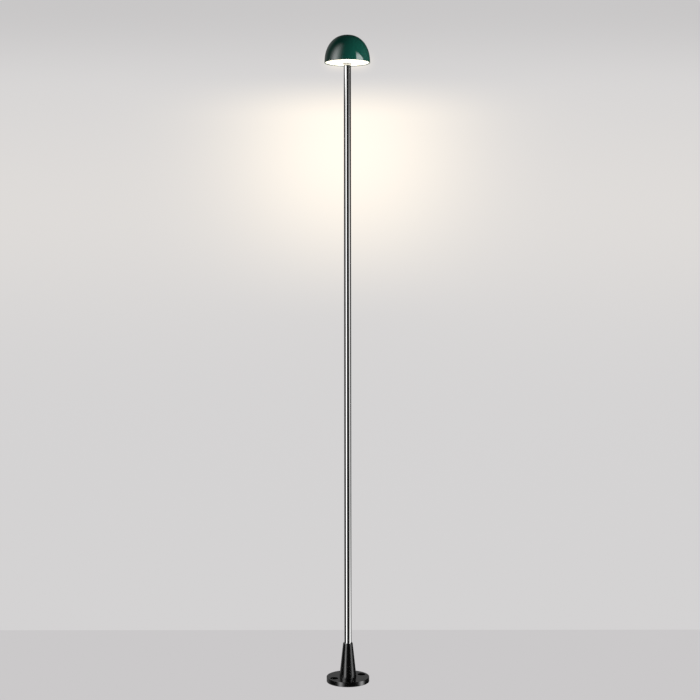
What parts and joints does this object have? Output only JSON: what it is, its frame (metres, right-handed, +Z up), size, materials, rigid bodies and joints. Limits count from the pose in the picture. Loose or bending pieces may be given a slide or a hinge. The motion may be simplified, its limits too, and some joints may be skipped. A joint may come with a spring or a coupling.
{
  "type": "pole light",
  "caption": "Tall slim pole light with a gloss green dome shade over a flat opal diffuser, a straight polished steel pole and a black flanged socket that screws down.",
  "frame": {"origin": "centre of the flange's underside, on the surface the light stands on", "axes": "+Z up along the pole, -Y the front, +X the viewer's right; the two fixing holes lie on a line turned 27 degrees from +X towards +Y"},
  "size_m": [0.126, 0.126, 1.8016],
  "materials": {
    "shade_green": "gloss",
    "opal": "satin",
    "polished_stainless": "polished",
    "black_powder_coat": "satin",
    "zinc_steel": "satin",
    "brass": "satin",
    "white_pan": "satin",
    "board_aluminium": "satin",
    "led_phosphor": "matte",
    "silicone": "matte",
    "black_rubber": "matte",
    "black_nylon": "satin",
    "white_nylon": "satin",
    "driver_plastic": "satin",
    "earth_green": "satin"
  },
  "bodies": {
    "root": {"base_casting": "black_powder_coat", "base_cover": "black_powder_coat", "board_connector": "white_nylon", "board_screw_1": "zinc_steel", "board_screw_2": "zinc_steel", "board_screw_3": "zinc_steel", "cover_gasket": "black_rubber", "cover_screw_1": "zinc_steel", "cover_screw_2": "zinc_steel", "cover_screw_3": "zinc_steel", "diffuser_gasket": "silicone", "driver_screw_1": "zinc_steel", "driver_screw_2": "zinc_steel", "earth_lead": "earth_green", "earth_lug": "zinc_steel", "earth_screw": "brass", "gland_body": "black_nylon", "gland_cap": "black_nylon", "gland_lock_nut": "black_nylon", "gland_seal": "black_rubber", "grub_screw_lower": "zinc_steel", "grub_screw_upper": "zinc_steel", "led_board": "board_aluminium", "led_chip_1": "led_phosphor", "led_chip_2": "led_phosphor", "led_chip_3": "led_phosphor", "led_chip_4": "led_phosphor", "led_chip_5": "led_phosphor", "led_chip_6": "led_phosphor", "led_chip_7": "led_phosphor", "led_chip_8": "led_phosphor", "led_driver": "driver_plastic", "led_lead": "black_rubber", "neck_collar": "polished_stainless", "neck_o_ring": "black_rubber", "opal_diffuser": "opal", "pan_grommet": "black_rubber", "pan_lock_nut": "zinc_steel", "pan_screw_1": "zinc_steel", "pan_screw_2": "zinc_steel", "pan_screw_3": "zinc_steel", "pan_washer": "zinc_steel", "pole_cable": "black_rubber", "pole_foot_bush": "black_nylon", "pole_top_bush": "zinc_steel", "pole_tube": "polished_stainless", "reflector_pan": "white_pan", "shade_dome": "shade_green", "spacer_sleeve": "zinc_steel", "terminal_block": "white_nylon", "terminal_screw_1": "brass", "terminal_screw_2": "brass", "terminal_screw_3": "brass", "threaded_tube": "zinc_steel"}
  },
  "joints": []
}
